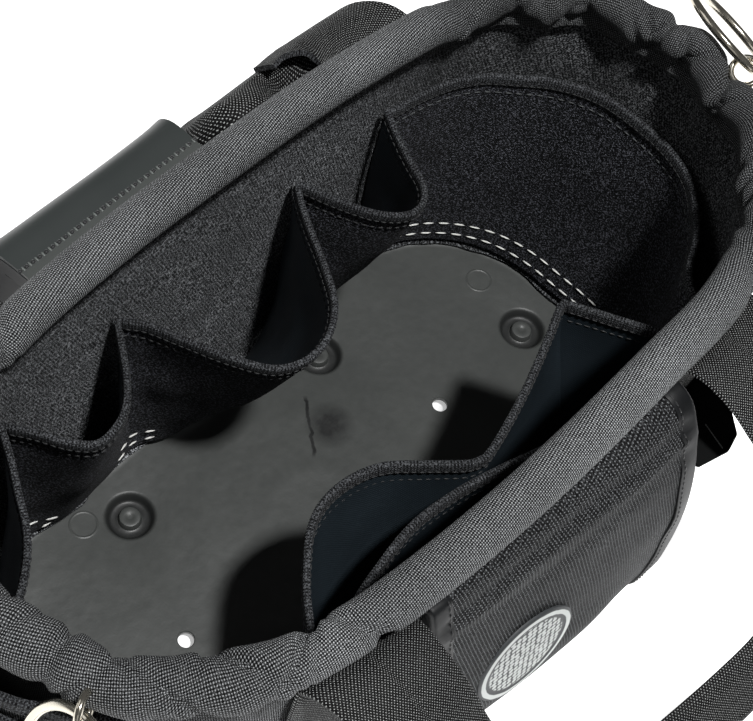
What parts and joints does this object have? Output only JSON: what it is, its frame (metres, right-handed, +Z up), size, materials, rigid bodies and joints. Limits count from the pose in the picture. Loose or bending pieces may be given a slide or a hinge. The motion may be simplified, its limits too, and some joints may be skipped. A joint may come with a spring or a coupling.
{
  "type": "open-mouth tool bag",
  "caption": "Open-topped cloth tool bag with a sleeved, gathered rim, inner and outer pockets, webbing handles, strap rings and a moulded tray base with hollow feet.",
  "frame": {"origin": "bottom centre of the whole bag's box, at the soles of the feet", "axes": "+X along the bag towards the far ring, +Y to the back, +Z up"},
  "size_m": [0.469, 0.3582, 0.2206],
  "materials": {
    "tray_plastic": "satin moulded plastic",
    "shell_cloth": "coarse woven nylon",
    "lining_cloth": "napped lining cloth",
    "binding_tape": "ribbed tape",
    "coated_cloth": "smooth coated cloth",
    "webbing": "ribbed webbing",
    "nickel": "polished",
    "patch": "matt with a pale rim"
  },
  "bodies": {
    "root": {"base_tray": "tray_plastic", "bag_wall": "shell_cloth", "rim_casing": "shell_cloth", "front_pocket_panel": "shell_cloth", "near_outer_pocket": "shell_cloth", "back_pocket_strip": "lining_cloth", "end_pocket_panel": "lining_cloth", "front_backing_panel": "lining_cloth", "front_pocket_strip": "lining_cloth", "back_strip_binding": "binding_tape", "end_panel_binding": "binding_tape", "front_backing_binding": "binding_tape", "front_strip_binding": "binding_tape", "vinyl_pocket": "coated_cloth", "vinyl_gusset_left": "coated_cloth", "vinyl_gusset_right": "coated_cloth", "front_gusset_left": "coated_cloth", "front_gusset_right": "coated_cloth", "side_tab": "coated_cloth", "handle_front": "webbing", "handle_back": "webbing", "small_ring_far": "nickel", "small_ring_near": "nickel", "large_ring_far": "nickel", "large_ring_near": "nickel", "round_badge": "patch"}
  },
  "joints": []
}
